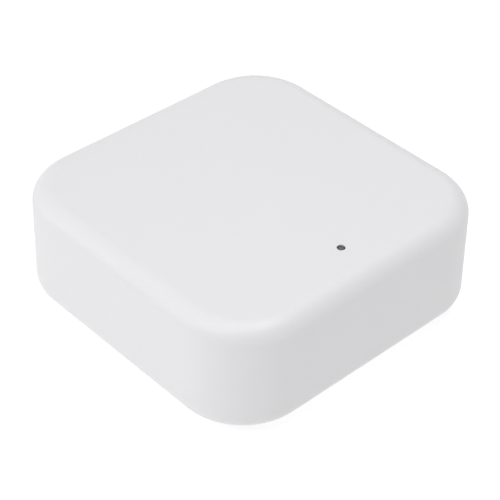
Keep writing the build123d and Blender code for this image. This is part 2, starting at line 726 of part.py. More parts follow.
def bulk_capacitor_bases():
    bases = []
    for x, y in BULK_PLACES:
        base = block(x, y, BOARD_TOP, BULK_BASE_SIZE, BULK_BASE_SIZE, BULK_BASE_HEIGHT)
        rear_corners = base.edges().filter_by(Axis.Z).sort_by(Axis.Y)[-2:]
        bases.append(chamfer(rear_corners, BULK_BASE_BEVEL))
    return bases


def crystal():
    base = block(*CRYSTAL_PLACE, BOARD_TOP, *CRYSTAL_BASE)
    lid = block(*CRYSTAL_PLACE, BOARD_TOP + CRYSTAL_BASE[2], *CRYSTAL_LID, CRYSTAL_LID_CORNER)
    return base + fillet(rim(lid, -1), CRYSTAL_LID_EDGE)


def small_bodies(places, height):
    """The ceramic middles of a group of chip capacitors or resistors."""
    size = (SMALL_LENGTH - 2 * SMALL_END, SMALL_BODY_SHARE * SMALL_WIDTH, SMALL_BODY_SHARE * height)
    return [Pos(x, y) * Rot(0, 0, turn) * block(0, 0, BOARD_TOP, *size) for x, y, turn in places]


def small_ends(places, height):
    """The plated ends of a group of chip capacitors or resistors."""
    middle = (SMALL_LENGTH - SMALL_END) / 2
    size = (SMALL_END, SMALL_WIDTH, height)
    return [
        Pos(x, y) * Rot(0, 0, turn) * block(side * middle, 0, BOARD_TOP, *size)
        for x, y, turn in places
        for side in SIDES
    ]


# Every node


def add_case():
    parts["top_cover"] = top_cover()
    parts["bottom_cover"] = bottom_cover()
    for sx, sy in FOUR_CORNERS:
        name = f"rubber_foot_{'front' if sy < 0 else 'rear'}_{'left' if sx < 0 else 'right'}"
        parts[name] = rubber_foot(sx * FOOT_SPREAD, sy * FOOT_SPREAD)
    parts["foot_adhesive_pads"] = foot_adhesive_pads()
    parts["blank_label"] = blank_label()
    parts["case_screws"] = case_screws()
    parts["board_screws"] = board_screws()


def add_rear_ports():
    parts["power_socket_shell"] = power_socket_shell()
    parts["power_socket_tongue"] = power_socket_tongue()
    parts["power_socket_contacts"] = power_socket_contacts()
    parts["reset_button"] = reset_button()
    parts["reset_switch_stem"] = reset_switch_stem()
    parts["reset_switch_dome"] = reset_switch_dome()
    parts["reset_switch_housing"] = reset_switch_housing()
    parts["reset_switch_cover"] = reset_switch_cover()
    parts["reset_switch_terminals"] = reset_switch_terminals()


def add_status_light():
    parts["light_pipe"] = light_pipe()
    parts["status_led"] = status_led()
    parts["status_led_lens"] = status_led_lens()
    parts["status_led_terminals"] = status_led_terminals()


def add_board():
    parts["main_circuit_board"] = main_circuit_board()
    for name, module in MODULES.items():
        parts[f"{name}_board"] = module_board(module)
        parts[f"{name}_shield_can"] = module_can(module)
        parts[f"{name}_chip"] = module_chip(module)
        parts[f"{name}_antenna"] = module_antenna(module)
    parts["flash_memory_chip"] = chip_body(FLASH)
    parts["flash_memory_leads"] = flash_memory_leads()
    parts["voltage_regulator"] = chip_body(REGULATOR)
    parts["voltage_regulator_leads"] = voltage_regulator_leads()
    parts["surge_diode"] = chip_body(SURGE_DIODE)
    parts["surge_diode_tails"] = surge_diode_tails()
    parts["power_coil"] = power_coil()
    parts["bulk_capacitor_cans"] = bulk_capacitor_cans()
    parts["bulk_capacitor_bases"] = bulk_capacitor_bases()
    parts["crystal"] = crystal()
    parts["capacitor_bodies"] = small_bodies(CAPACITOR_PLACES, CAPACITOR_HEIGHT)
    parts["capacitor_ends"] = small_ends(CAPACITOR_PLACES, CAPACITOR_HEIGHT)
    parts["resistor_bodies"] = small_bodies(RESISTOR_PLACES, RESISTOR_HEIGHT)
    parts["resistor_ends"] = small_ends(RESISTOR_PLACES, RESISTOR_HEIGHT)


add_case()
add_rear_ports()
add_status_light()
add_board()
os.makedirs("parts", exist_ok=True)
for name, shape in parts.items():
    made = Compound(children=shape) if isinstance(shape, list) else shape
    export_step(made, f"parts/{name}.step")
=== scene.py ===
import json
import math
from collections import namedtuple

import bmesh
import bpy
from mathutils import Matrix, Vector


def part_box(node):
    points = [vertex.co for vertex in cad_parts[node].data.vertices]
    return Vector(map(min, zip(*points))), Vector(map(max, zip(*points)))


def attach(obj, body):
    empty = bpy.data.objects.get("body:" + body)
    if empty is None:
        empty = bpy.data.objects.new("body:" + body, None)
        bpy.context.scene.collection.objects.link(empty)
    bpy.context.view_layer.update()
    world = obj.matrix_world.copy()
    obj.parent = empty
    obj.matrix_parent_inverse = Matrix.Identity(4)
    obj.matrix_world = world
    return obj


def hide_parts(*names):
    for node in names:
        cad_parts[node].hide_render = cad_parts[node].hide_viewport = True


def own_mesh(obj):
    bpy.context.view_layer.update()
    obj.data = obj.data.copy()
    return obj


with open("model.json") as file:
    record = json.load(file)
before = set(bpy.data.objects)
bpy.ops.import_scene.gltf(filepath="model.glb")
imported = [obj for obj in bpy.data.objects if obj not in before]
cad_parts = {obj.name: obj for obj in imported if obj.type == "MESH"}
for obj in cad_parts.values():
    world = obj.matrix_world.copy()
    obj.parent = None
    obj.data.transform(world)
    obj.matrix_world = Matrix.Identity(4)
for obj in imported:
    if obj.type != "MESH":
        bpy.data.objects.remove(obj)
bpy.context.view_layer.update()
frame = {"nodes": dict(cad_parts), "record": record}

# A white desktop smart home hub. The case, the board and most of what is on it are the frame's own
# meshes with new materials. Made here are the feet, the screws, the power socket's shell, the reset
# button's cap and snap dome, and the solder, gold pads, coil winding and print on the board.
# Sizes are in millimetres and angles in degrees. MM takes sizes to Blender's metres.

MM = 0.001
ROUND_STEPS = 48  # to a full turn, of what is turned
CREASE = 35  # how much faces turn by before the edge between them is sharp

# Camera
CAMERA_AZIMUTH = -43.232
CAMERA_ELEVATION = 38.985
CAMERA_ROLL = 1.104
CAMERA_DISTANCE = 317.366
CAMERA_TARGET = (-3.156, -3.617, 14.0)
CAMERA_LENS = 114.87

# Studio: round soft boxes on a dome over the hub, as azimuth, elevation and power in watts
SOFT_BOXES = {
    "high_front": (0, 75, 2.35),
    "high_right": (90, 75, 2.81),
    "left": (270, 52, 3.25),
    "rear_left": (225, 8, 1.48),
    "rear_right": (135, 52, 0.71),
}
SOFT_BOX_DISTANCE = 1000.0
SOFT_BOX_SIZE = 500.0
SOFT_BOX_AIM = (0, 0, 13)
FLOOR_REACH = 3000.0
FLOOR_WHITE = 0.3
FLOOR_GLOW = 0.798

# The surround's strength, by the height of the direction that a view looks in
WORLD_FADE = {"From Min": 0.12, "From Max": 0.3, "To Min": 0.6, "To Max": 0.21}

# Power socket's shell, on four legs that go down through the board
SOCKET_HEIGHT = 3.16
SOCKET_SKIN = 0.28
LEG_WIDTH = 1.1
LEG_THICKNESS = 0.3
LEG_CORNER = 0.06
LEG_TIP_LENGTH = 0.5
LEG_TIP_WIDTH = 0.55  # of the leg's width
LEG_OUTSIDE = 0.05  # from the shell's side to the leg's middle
LEG_ROWS = (28.4, 30.9)  # places along Y

# Reset button's cap
CAP_RADIUS = 2.0
CAP_EDGE = 0.35
DISH_RADIUS = 1.45
DISH_DEPTH = 0.18
DISH_STEPS = (1, 0.95, 0.85, 0.7, 0.5, 0.25, 0.03)  # of the dish's radius
DISH_CURVE = 0.7  # a power: the less it is, the flatter the dish's middle
PUSHER_RADIUS = 1.2
PUSHER_LENGTH = 0.6
FLANGE_THICKNESS = 0.8

# Snap dome
DOME_SHEET = 0.08
DOME_PINHOLE = 0.5  # degrees from the dome's axis
DOME_STEPS = 14

# Foot
FOOT_EDGE = 0.6
SOLE_RADIUS = 3.9
SOLE_DISH = 0.3
SOLE_RIBS = 3
SOLE_RIB_WIDTH = 0.5

# Screws: the point is the last part of the length, which tapers
Screw = namedtuple("Screw", "head_radius head_height crest_radius length pitch point")
CASE_SCREW = Screw(head_radius=2.3, head_height=1.5, crest_radius=1.25, length=8.0, pitch=0.9, point=1.2)
BOARD_SCREW = Screw(head_radius=1.9, head_height=1.3, crest_radius=0.8, length=5.0, pitch=0.6, point=0.8)
SHANK_SINK = 0.02  # how far the shank goes into the head
SHANK_TIP = 0.06
CROSS_REACH = 0.6  # of the head's radius
CROSS_WIDTH = 0.24
CROSS_DEPTH = 0.6  # of the head's height
CROSS_TAPER = 0.3  # of the head's height, over which the recess narrows to its floor
CROSS_FLOOR = 0.7  # of the recess's size
CROSS_CORNER = 0.02
THREAD_ROOT = 0.72  # of the crest's radius
THREAD_STEPS = 24  # to a turn
THREAD_FADE = 0.5  # of a turn, at each end
RIDGE_FOOT = 0.88  # of the root's radius, so that the ridge starts inside the shank
RIDGE_FADED = 0.9  # of the root's radius, so that it also ends inside
RIDGE_LEAST = 0.05  # of the height of its crest over that
RIDGE_FOOT_REACH = 0.26  # of the pitch, up and down
RIDGE_CREST_REACH = 0.05

# Solder: SOLDERED are nodes with a joint at each solid that stands on the board
SOLDER_SPREAD = 0.28
SOLDER_CLIMB = 0.7  # of the height of what it holds
SOLDER_MOST = 0.45
SOLDER_SKIN = 0.02
SOLDER_STEPS = (0, 0.15, 0.35, 0.6, 1.0)  # of the climb
SOLDERED = (
    "capacitor_ends", "resistor_ends", "flash_memory_leads", "voltage_regulator_leads",
    "surge_diode_tails", "power_socket_contacts", "reset_switch_terminals", "status_led_terminals",
)
MODULES = ("network_radio", "mesh_radio")
NOTCH_PITCH = 1.5
NOTCH_SOLDER = (0.5, 0.6)  # width and length
ON_BOARD = 0.05  # how close to the board counts as standing on it

# Gold pads
SCREW_PAD = (1.15, 2.5, 0.03)  # inner radius, outer radius and height
TEST_PAD_RADIUS = 0.5
TEST_PAD_TOP = 0.9  # of its radius
TEST_PAD_SHOULDER = 0.6  # of its height
TEST_PAD_PITCH = 1.9
TEST_PAD_COUNT = 5
TEST_PADS_START = (-14.0, -27.4)

# Print round the larger components
OUTLINED = (
    "flash_memory_chip", "voltage_regulator", "surge_diode", "power_coil", "crystal",
    "bulk_capacitor_bases", "network_radio_board", "mesh_radio_board",
)
OUTLINE_GAP = 0.6
OUTLINE_WIDTH = 0.14
OUTLINE_HEIGHT = 0.02
OUTLINE_CORNER = 0.15

# Coil winding
WINDING_RADII = (1.64, 1.86)
WIRE_RADIUS = 0.1
WIRE_SIDES = 12
WIRE_DEPTH = 0.15  # of the wire's middle, under the coil's top

# Drawn by the materials
TRACK_FIELD = 5.5  # across one nest of tracks
TRACK_PITCH = 0.8
TRACK_STARTS = (0.42, 0.5)  # of the pitch, where the copper rises
TRACK_ENDS = (0.86, 0.94)
OCTAGON = 0.75  # how much a diamond shrinks to cut the corners off a square
POUR_SIZE = 9.0
POUR_SHARE = 0.5  # of the board's area
# The via's opening is painted near black as painted shade.
VIA_HOLE = 0.14  # radii
VIA_RING = 0.3
RULE_INSET = 1.4
RULE_WIDTH = 0.22
CAN_SEGMENT = 0.28  # of the way across the bulk capacitors
# Painted shade darkens the light pipe between these radii, towards its rim.
PIPE_RIM_SHADE = (0.25, 0.62)  # radii between which the light pipe darkens


def span(node):
    """A CAD node's lowest and highest corners."""
    low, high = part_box(node)
    return low / MM, high / MM


def over(low, high, level):
    """The place at this level over or under the middle of a box."""
    return Vector(((low.x + high.x) / 2, (low.y + high.y) / 2, level))


def corners_of(node, inset):
    """The four places this far in, both ways, from the corners of a CAD node's box."""
    low, high = span(node)
    return [(x, y) for x in (low.x + inset, high.x - inset) for y in (low.y + inset, high.y - inset)]


def link(name, data):
    """A new object in the scene, which holds this mesh, light or camera."""
    holder = bpy.data.objects.new(name, data)
    bpy.context.scene.collection.objects.link(holder)
    return holder


BOARD_TOP = span("main_circuit_board")[1].z


# Materials


class Look:
    """A material in the making: its shader, and short ways to add what varies over the surface."""

    USUAL = (0.3, 0.7)  # the range that most of a noise lies in

    def __init__(self, name, color, roughness, sockets=()):
        self.material = bpy.data.materials.new(name)
        self.material.use_nodes = True
        self.material.diffuse_color = (*color, 1)
        self.nodes = self.material.node_tree.nodes
        self.links = self.material.node_tree.links
        self.shader = self.nodes["Principled BSDF"]
        self.color = color
        self.roughness = roughness
        self.shader.inputs["Base Color"].default_value = (*color, 1)
        self.shader.inputs["Roughness"].default_value = roughness
        for socket, value in dict(sockets).items():
            self.shader.inputs[socket].default_value = value

    def add(self, kind, output=0, settings=(), **sockets):
        """The output of a new node, whose sockets are set or linked by name, or as _0 by number."""
        node = self.nodes.new("ShaderNode" + kind)
        for setting, value in dict(settings).items():
            setattr(node, setting, value)
        for name, value in sockets.items():
            socket = node.inputs[int(name[1:])] if name[1:].isdigit() else node.inputs[name]
            if isinstance(value, bpy.types.NodeSocket):
                self.links.new(value, socket)
            else:
                socket.default_value = value
        return node.outputs[output]

    def place(self):
        """Where the point is on the piece, in metres."""
        return self.add("TexCoord", "Object")

    def stretched(self, x=1.0, y=1.0, z=1.0):
        """The place on the piece, with its axes scaled so that a pattern is drawn out."""
        return self.add("Mapping", Vector=self.place(), Scale=(x, y, z))

    def noise(self, size, detail=2.0, place=None):
        """Soft random patches about this many millimetres across, from 0 to 1."""
        vector = place or self.place()
        return self.add("TexNoise", Vector=vector, Scale=1 / (size * MM), Detail=detail)

    def cells(self, size, randomness=1.0, output="Distance", **settings):
        """How far each point is from the middle of its cell, as a share of this size, or the cell's
        own random colour."""
        return self.add(
            "TexVoronoi", output, settings, Vector=self.place(), Scale=1 / (size * MM), Randomness=randomness
        )

    def math(self, operation, first, second=0.0):
        return self.add("Math", settings={"operation": operation}, _0=first, _1=second)

    def level(self, factor, low, high, from_low, from_high):
        """The factor taken from one range to another, and held inside it."""
        sockets = {"From Min": from_low, "From Max": from_high, "To Min": low, "To Max": high}
        return self.add("MapRange", Value=factor, **sockets)

    def axis(self, name, of=None):
        return self.add("SeparateXYZ", name, Vector=of or self.place())

    def facing_up(self):
        """1 on faces that look straight up, and 0 on walls and undersides."""
        normal = self.add("TexCoord", "Normal")
        return self.level(self.axis("Z", normal), 0, 1, 0.6, 0.8)

    def from_axis(self, x, y):
        """The distance from an upright line, in metres."""
        place = self.place()
        across = self.math("SUBTRACT", self.axis("X", place), x * MM)
        along = self.math("SUBTRACT", self.axis("Y", place), y * MM)
        square = self.math("ADD", self.math("MULTIPLY", across, across), self.math("MULTIPLY", along, along))
        return self.math("SQRT", square)

    def mix(self, factor, first, second):
        """Between two colours, each a colour or a node's output."""
        first = (*first, 1) if isinstance(first, tuple) else first
        second = (*second, 1) if isinstance(second, tuple) else second
        # A Mix node has its two colours at inputs 6 and 7, and their mixture at output 2.
        return self.add("Mix", 2, {"data_type": "RGBA"}, Factor=factor, _6=first, _7=second)

    def paint(self, color):
        self.links.new(color, self.shader.inputs["Base Color"])

    def shade(self, factor, amount):
        """The colour made lighter and darker by this share of itself."""
        darker = tuple(c * (1 - amount) for c in self.color)
        lighter = tuple(min(c * (1 + amount), 1.0) for c in self.color)
        return self.mix(self.level(factor, 0, 1, *self.USUAL), darker, lighter)

    def polish(self, factor, amount):
        """The roughness made higher and lower by this much."""
        rough = self.level(factor, self.roughness - amount, self.roughness + amount, *self.USUAL)
        self.links.new(rough, self.shader.inputs["Roughness"])

    def relief(self, height, depth):
        """Raises and sinks the surface, by at most this many millimetres."""
        previous = self.shader.inputs["Normal"].links
        sockets = {"Normal": previous[0].from_socket} if previous else {}
        bump = self.add("Bump", Height=height, Distance=depth * MM, **sockets)
        self.links.new(bump, self.shader.inputs["Normal"])
        return self


def moulded_plastic(name, color, roughness):
    """Spark-textured moulded plastic: a very fine even spark texture, with painted shade in its pits and
    painted light on its rises, and gloss that varies a little.
    """
    look = Look(name, color, roughness)
    grain_and_pit_shade = look.noise(0.2, detail=3)
    # Painted shade and light: the colour is darker in the texture's pits and lighter on its rises.
    look.paint(look.shade(grain_and_pit_shade, 0.02))
    look.polish(look.noise(3, detail=4), 0.04)
    return look.relief(grain_and_pit_shade, 0.022).material


def foot_rubber():
    look = Look("foot_rubber", (0.15, 0.15, 0.155), 0.78, {"Specular IOR Level": 0.35})
    look.paint(look.shade(look.noise(0.8, detail=5), 0.12))
    look.polish(look.noise(1.5), 0.08)
    return look.relief(look.noise(0.12, detail=3), 0.012).material


def adhesive_film():
    look = Look("adhesive_film", (0.6, 0.57, 0.45), 0.35)
    look.paint(look.shade(look.noise(1.2, detail=4), 0.08))
    look.polish(look.noise(0.6), 0.12)
    return look.relief(look.cells(0.5), 0.006).material


def label_paper():
    """Satin white film with one thin grey rule round it, and nothing printed inside."""
    look = Look("label_paper", (0.62, 0.62, 0.62), 0.42)
    low, high = span("blank_label")
    centre, half = (low + high) / 2, (high - low) / 2
    place = look.place()
    from_edge = []
    for name, line, reach in (("X", centre.x, half.x), ("Y", centre.y, half.y)):
        out = look.math("ABSOLUTE", look.math("SUBTRACT", look.axis(name, place), line * MM))
        from_edge.append(look.math("SUBTRACT", reach * MM, out))
    inset = look.math("MINIMUM", *from_edge)
    off_rule = look.math("ABSOLUTE", look.math("SUBTRACT", inset, RULE_INSET * MM))
    rule = look.math("LESS_THAN", off_rule, RULE_WIDTH / 2 * MM)
    look.paint(look.mix(rule, look.shade(look.noise(5, detail=5), 0.02), (0.2, 0.2, 0.21)))
    look.polish(look.noise(2.5), 0.05)
    return look.relief(look.noise(0.3, detail=4), 0.003).material


def smoked_light_pipe():
    """Smoked clear plastic, with painted shade that darkens it towards its rim, where less light comes back
    up.
    """
    look = Look("light_pipe_smoked", (0.1, 0.1, 0.104), 0.12)
    low, high = span("light_pipe")
    centre = (low + high) / 2
    # Painted shade: the colour darkens towards the rim.
    rim = look.level(look.from_axis(centre.x, centre.y), 0, 1, PIPE_RIM_SHADE[0] * MM, PIPE_RIM_SHADE[1] * MM)
    look.paint(look.mix(rim, look.shade(look.noise(0.3), 0.1), (0.024, 0.024, 0.026)))
    look.polish(look.noise(0.5, detail=3), 0.03)
    return look.relief(look.noise(0.2), 0.002).material


def plated(name, color, roughness, spots=0.06, lines=(1, 1, 1), depth=0.0015):
    """Plated or bare metal, with the faint draw lines of its forming and small dull spots."""
    look = Look(name, color, roughness, {"Metallic": 1.0})
    drawn = look.noise(0.14, detail=3, place=look.stretched(*lines))
    look.paint(look.shade(look.noise(2.2, detail=5), spots))
    look.polish(drawn, roughness * 0.2)
    return look.relief(drawn, depth).material


def black_moulding():
    look = Look("black_moulding", (0.017, 0.017, 0.019), 0.5)
    fibres = look.noise(0.09, detail=3, place=look.stretched(x=0.35))
    look.paint(look.shade(fibres, 0.3))
    look.polish(fibres, 0.1)
    return look.relief(fibres, 0.006).material


def chip_epoxy():
    look = Look("chip_epoxy", (0.022, 0.022, 0.024), 0.6)
    filler = look.noise(0.05, detail=4)
    look.paint(look.shade(filler, 0.35))
    look.polish(look.noise(0.7), 0.09)
    return look.relief(filler, 0.005).material


def solder_mask(name, mask, over_copper, laminate, via_pitch):
    """Solder mask: paler over the copper's tracks and poured areas, with plated through holes whose openings
    are painted near black as painted shade.
    """
    look = Look(name, mask, 0.28)
    squares = look.cells(TRACK_FIELD, distance="CHEBYCHEV")
    diamonds = look.cells(TRACK_FIELD, distance="MANHATTAN")
    octagons = look.math("MAXIMUM", squares, look.math("MULTIPLY", diamonds, OCTAGON))
    wave = look.math("FRACT", look.math("MULTIPLY", octagons, TRACK_FIELD / TRACK_PITCH))
    copper = look.level(wave, 0, 1, *TRACK_STARTS)
    copper = look.math("MULTIPLY", copper, look.level(wave, 1, 0, *TRACK_ENDS))
    area = look.axis("X", look.cells(POUR_SIZE, 0.8, "Color", distance="CHEBYCHEV"))
    copper = look.math("MAXIMUM", copper, look.math("LESS_THAN", area, POUR_SHARE))
    vias = look.cells(via_pitch, 0.75, voronoi_dimensions="2D")
    # Painted shade: each via's opening is painted near black, where it would be in shade.
    hole_shade = look.math("LESS_THAN", vias, VIA_HOLE / via_pitch)
    ring = look.math("LESS_THAN", vias, VIA_RING / via_pitch)
    surface = look.mix(copper, look.shade(look.noise(4, detail=4), 0.12), over_copper)
    surface = look.mix(ring, surface, (0.62, 0.45, 0.16))
    surface = look.mix(hole_shade, surface, (0.01, 0.01, 0.01))
    upright = look.math("ABSOLUTE", look.axis("Z", look.add("TexCoord", "Normal")))
    look.paint(look.mix(look.level(upright, 0, 1, 0.4, 0.6), laminate, surface))
    look.polish(look.noise(1.2, detail=4), 0.06)
    look.relief(copper, 0.03)
    return look.relief(look.noise(0.25), 0.004).material


def bulk_can_aluminium():
    """Drawn aluminium with a black printed segment on the top, over the negative lead."""
    look = Look("aluminium_can", (0.72, 0.73, 0.745), 0.26, {"Metallic": 1.0})
    low, high = span("bulk_capacitor_cans")
    segment_edge = (low.y + CAN_SEGMENT * (high.y - low.y)) * MM
    in_segment = look.math("LESS_THAN", look.axis("Y"), segment_edge)
    printed = look.math("MULTIPLY", in_segment, look.facing_up())
    drawn = look.noise(0.2, detail=3, place=look.stretched(z=0.08))
    look.paint(look.mix(printed, look.shade(look.noise(1.5, detail=4), 0.05), (0.02, 0.02, 0.022)))
    look.links.new(look.math("SUBTRACT", 1.0, printed), look.shader.inputs["Metallic"])
    look.polish(drawn, 0.05)
    return look.relief(drawn, 0.001).material


def pressed_ferrite():
    look = Look("ferrite", (0.05, 0.05, 0.053), 0.62)
    powder = look.noise(0.1, detail=5)
    look.paint(look.shade(powder, 0.4))
    look.polish(look.noise(0.6), 0.1)
    return look.relief(powder, 0.01).material


def capacitor_ceramic():
    look = Look("capacitor_ceramic", (0.34, 0.235, 0.14), 0.42)
    look.paint(look.shade(look.noise(0.35, detail=5), 0.14))
    look.polish(look.noise(0.4), 0.08)
    return look.relief(look.noise(0.08, detail=3), 0.004).material


def resistor_glaze():
    """Black glaze on the top, over the white ceramic that shows on the sides."""
    look = Look("resistor_glaze", (0.02, 0.02, 0.023), 0.22)
    ceramic = look.mix(look.noise(0.2), (0.6, 0.6, 0.58), (0.7, 0.7, 0.68))
    look.paint(look.mix(look.facing_up(), ceramic, look.shade(look.noise(0.3), 0.3)))
    look.polish(look.noise(0.5), 0.05)
    return look.relief(look.noise(0.35), 0.008).material


def led_white():
    look = Look("led_white", (0.78, 0.78, 0.75), 0.3)
    look.paint(look.shade(look.noise(0.7, detail=3), 0.02))
    look.polish(look.noise(0.4), 0.05)
    return look.relief(look.noise(0.1), 0.003).material


def led_lens():
    look = Look("led_lens", (0.72, 0.6, 0.16), 0.1, {"Coat Weight": 0.6})
    look.paint(look.shade(look.noise(0.12, detail=5), 0.12))
    look.polish(look.noise(0.4), 0.03)
    return look.relief(look.noise(0.5), 0.02).material


def enamelled_copper():
    look = Look("enamelled_copper", (0.62, 0.22, 0.07), 0.25, {"Metallic": 0.9, "Coat Weight": 0.5})
    look.paint(look.shade(look.noise(0.3, detail=4), 0.15))
    look.polish(look.noise(0.15), 0.06)
    return look.relief(look.noise(0.05), 0.003).material


def screen_print():
    look = Look("screen_print", (0.75, 0.75, 0.73), 0.5)
    look.paint(look.shade(look.noise(0.15, detail=4), 0.08))
    look.polish(look.noise(0.2), 0.08)
    return look.relief(look.noise(0.06), 0.004).material


def make_looks():
    """A material for each of the record's slots."""
    return {
        "case_plastic": moulded_plastic("case_plastic", (0.78, 0.775, 0.79), 0.45),
        "button_plastic": moulded_plastic("button_plastic", (0.7, 0.7, 0.71), 0.36),
        "foot_rubber": foot_rubber(),
        "adhesive_film": adhesive_film(),
        "label_paper": label_paper(),
        "light_pipe_smoked": smoked_light_pipe(),
        "zinc_steel": plated("zinc_steel", (0.6, 0.615, 0.645), 0.3, spots=0.1),
        "socket_steel": plated("socket_steel", (0.56, 0.55, 0.54), 0.24, lines=(1, 0.06, 1), depth=0.0004),
        "can_steel": plated("can_steel", (0.62, 0.615, 0.6), 0.33, lines=(1, 0.05, 1), depth=0.0003),
        "dome_steel": plated("dome_steel", (0.64, 0.62, 0.58), 0.18),
        "gold_plate": plated("gold_plate", (0.83, 0.6, 0.22), 0.24),
        "tin_plate": plated("tin_plate", (0.68, 0.68, 0.66), 0.36, spots=0.08, depth=0.006),
        "black_moulding": black_moulding(),
        "chip_epoxy": chip_epoxy(),
        "solder_mask_green": solder_mask(
            "solder_mask_green", (0.008, 0.09, 0.032), (0.02, 0.19, 0.06), (0.42, 0.4, 0.17), 8.0
        ),
        "solder_mask_black": solder_mask(
            "solder_mask_black", (0.011, 0.012, 0.014), (0.03, 0.032, 0.036), (0.1, 0.09, 0.06), 4.0
        ),
        "aluminium_can": bulk_can_aluminium(),
        "ferrite": pressed_ferrite(),
        "capacitor_ceramic": capacitor_ceramic(),
        "resistor_glaze": resistor_glaze(),
        "led_white": led_white(),
        "led_lens": led_lens(),
    }


def dress_cad_nodes(looks):
    """Gives each of the frame's nodes the material of its slot in the record."""
    for row in frame["record"]["subparts"]:
        node = frame["nodes"][row["node"]]
        for material_slot in node.material_slots:
            material_slot.material = looks[row["material_slot"]]


# Shells: each is a list of points and a list of faces


def skin(loops, closed=False):
    """A shell over loops of equal count, which goes back to its first loop or has two end faces."""
    count = len(loops[0])
    points = [point for loop in loops for point in loop]
    faces = []
    for n in range(len(loops) if closed else len(loops) - 1):
        here, there = n * count, (n + 1) % len(loops) * count
        for m in range(count):
            after = (m + 1) % count
            faces.append((here + m, here + after, there + after, there + m))
    if not closed:
        faces.append(tuple(range(count)))
        faces.append(tuple(range(len(points) - count, len(points))))
    return points, faces


def ring(radius, level, straight):
    """A level circle, or a slot whose straight stretches reach this far each side of its middle."""
    loop = []
    for n in range(ROUND_STEPS):
        angle = math.tau * (n + 0.5) / ROUND_STEPS
        shift = math.copysign(straight, math.cos(angle))
        loop.append(Vector((radius * math.cos(angle) + shift, radius * math.sin(angle), level)))
    return loop


def turned(outline, straight=0.0, closed=False):
    """The shell of an outline, given as radius and level, turned about the upright axis."""
    return skin([ring(radius, level, straight) for radius, level in outline], closed)


def arc(centre, level, radius, start, end, steps=6):
    """Points of an outline along an arc, from one angle to another."""
    points = []
    for n in range(steps + 1):
        angle = math.radians(start + (end - start) * n / steps)
        points.append((centre + radius * math.cos(angle), level + radius * math.sin(angle)))
    return points


def soft_rectangle(width, length, corner, level, steps=3):
    """A level rectangle with rounded corners."""
    loop = []
    for sx, sy, start in ((1, 1, 0), (-1, 1, 90), (-1, -1, 180), (1, -1, 270)):
        for n in range(steps + 1):
            angle = math.radians(start + 90 * n / steps)
            x = sx * (width / 2 - corner) + corner * math.cos(angle)
            y = sy * (length / 2 - corner) + corner * math.sin(angle)
            loop.append(Vector((x, y, level)))
    return loop


def moved(shell, place, tilt=0):
    """The shell tilted about X, and then moved."""
    points, faces = shell
    matrix = Matrix.Translation(place) @ Matrix.Rotation(math.radians(tilt), 4, "X")
    return [matrix @ Vector(point) for point in points], faces


def make_mesh(name, shells):
    """A smooth-shaded mesh of these shells, with sharp edges where its faces turn enough."""
    points, faces = [], []
    for shell_points, shell_faces in shells:
        start = len(points)
        points += [Vector(point) * MM for point in shell_points]
        faces += [[start + corner for corner in face] for face in shell_faces]
    mesh = bpy.data.meshes.new(name)
    mesh.from_pydata(points, [], faces)
    edit = bmesh.new()
    edit.from_mesh(mesh)
    bmesh.ops.recalc_face_normals(edit, faces=edit.faces)
    edit.to_mesh(mesh)
    edit.free()
    mesh.polygons.foreach_set("use_smooth", [True] * len(mesh.polygons))
    mesh.set_sharp_from_angle(angle=math.radians(CREASE))
    return mesh


def make_piece(name, shells, look, body="hub", stands_for=()):
    """A piece of these shells, which rides on a body and takes the material it is given."""
    mesh = make_mesh(name, shells)
    mesh.materials.append(look)
    piece = link(name, mesh)
    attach(piece, body)
    if stands_for:
        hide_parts(*stands_for)
    return piece


# Pieces


def rubber_foot(node, looks):
    """A moulded foot: a flat outer rim to stand on, round a dished sole with raised rings."""
    low, high = span(node)
    radius = (high.x - low.x) / 2
    outline = [(SOLE_RIB_WIDTH / 2, SOLE_DISH)]
    pitch = SOLE_RADIUS / (SOLE_RIBS + 0.5)
    for n in range(1, SOLE_RIBS + 1):
        # The radius is negative, so that the ring hangs down from the sole.
        outline += arc(n * pitch, SOLE_DISH, -SOLE_RIB_WIDTH / 2, 0, 180)
    outline += [(SOLE_RADIUS, SOLE_DISH), (SOLE_RADIUS + SOLE_DISH / 2, 0)]
    outline += arc(radius - FOOT_EDGE, FOOT_EDGE, FOOT_EDGE, -90, 0)
    outline.append((radius, high.z))
    shell = moved(turned(outline), over(low, high, low.z))
    make_piece(node + "_moulded", [shell], looks["foot_rubber"], stands_for=[node])


def carved(mesh, cutters):
    """The mesh with the cutters' shells taken out of it, as a shell in millimetres."""
    whole = link("carving", mesh)
    tools = [whole]
    for shell in cutters:
        tool = link("carving_tool", make_mesh("carving_tool", [shell]))
        cut = whole.modifiers.new("cut", "BOOLEAN")
        cut.operation = "DIFFERENCE"
        cut.solver = "EXACT"
        cut.object = tool
        tools.append(tool)
    bpy.context.view_layer.update()
    made = bpy.data.meshes.new_from_object(whole.evaluated_get(bpy.context.evaluated_depsgraph_get()))
    shell = [v.co / MM for v in made.vertices], [tuple(p.vertices) for p in made.polygons]
    for tool in tools:
        bpy.data.objects.remove(tool)
    return shell


def screw_head(screw):
    """A domed head that stands on z = 0, with a cross recess cut into it."""
    radius, height = screw.head_radius, screw.head_height
    dome = arc(radius - height / 2, height / 2, height / 2, 0, 90)
    head = make_mesh("screw_head", [turned([(radius, 0), *dome])])
    reach, width = CROSS_REACH * radius, CROSS_WIDTH * radius
    floor = (1 - CROSS_DEPTH) * height
    outline = [(CROSS_FLOOR, floor), (1.0, floor + CROSS_TAPER * height), (1.0, 2 * height)]
    cutters = []
    for x, y in ((reach, width), (width, reach)):
        loops = [soft_rectangle(x * size, y * size, CROSS_CORNER, z, steps=1) for size, z in outline]
        cutters.append(skin(loops))
    return carved(head, cutters)


